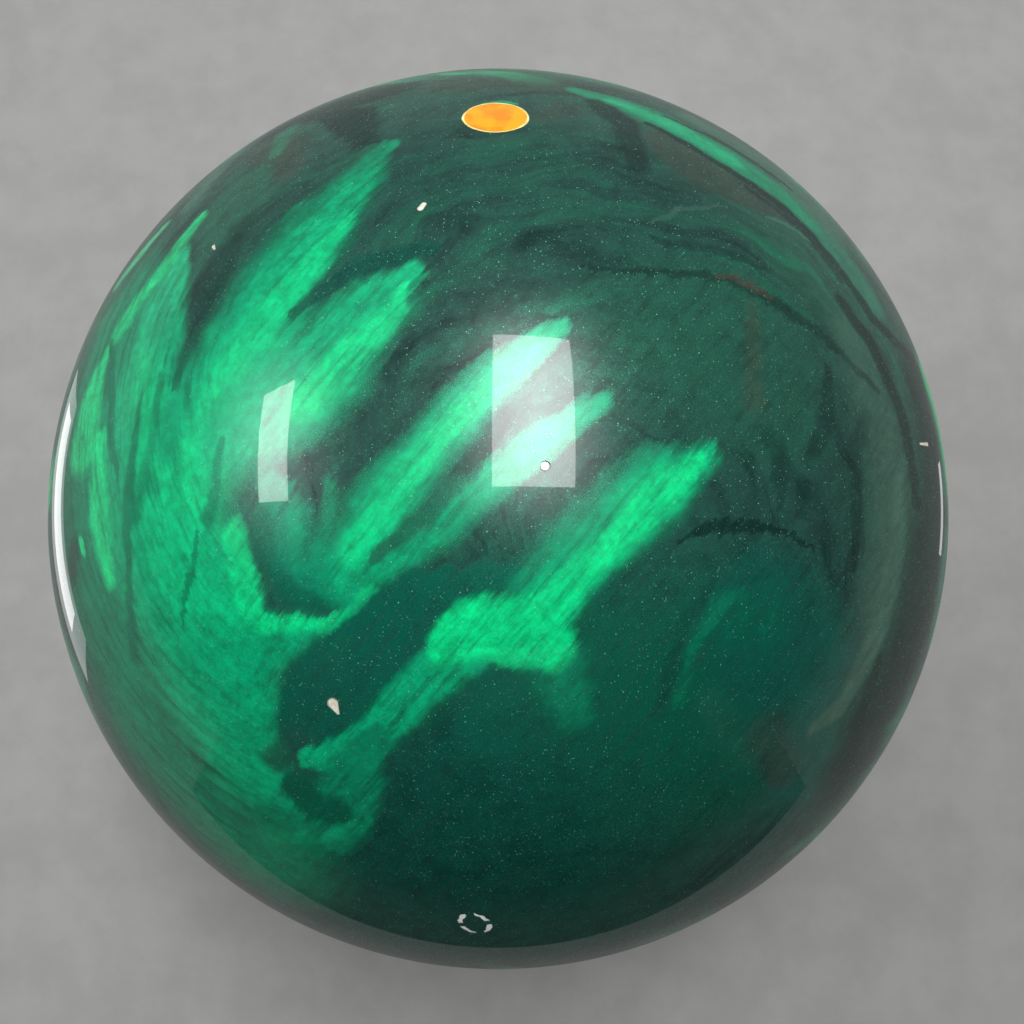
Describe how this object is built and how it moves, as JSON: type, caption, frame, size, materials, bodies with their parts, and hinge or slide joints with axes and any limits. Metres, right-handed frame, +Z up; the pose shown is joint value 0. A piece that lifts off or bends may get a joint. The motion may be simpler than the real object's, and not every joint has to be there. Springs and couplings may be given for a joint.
{
  "type": "bowling ball",
  "caption": "Undrilled ten-pin bowling ball in emerald pearl resin, with a locator pin, engraved balance marks and an asymmetric core.",
  "frame": {"origin": "centre of the ball", "axes": "+Z up as the ball rests; the locator pin lies over +Y, and the mass-bias mark lies over -Y"},
  "size_m": [0.2172, 0.2172, 0.2172],
  "materials": {
    "pearl_coverstock": "polished pearl resin, emerald and near-black green swirl",
    "outer_core_filler": "cast, matte",
    "weight_block_ceramic": "cast, satin",
    "pin_resin": "polished orange resin",
    "pin_bond_resin": "polished pale yellow resin",
    "mark_paint": "white fill paint, satin"
  },
  "bodies": {
    "root": {"coverstock": "pearl_coverstock", "outer_core": "outer_core_filler", "weight_block": "weight_block_ceramic", "locator_pin": "pin_resin", "pin_bond_sleeve": "pin_bond_resin", "gravity_mark": "mark_paint", "mass_bias_dash_1": "mark_paint", "mass_bias_dash_2": "mark_paint", "mass_bias_dash_3": "mark_paint", "mass_bias_dash_4": "mark_paint"}
  },
  "joints": []
}
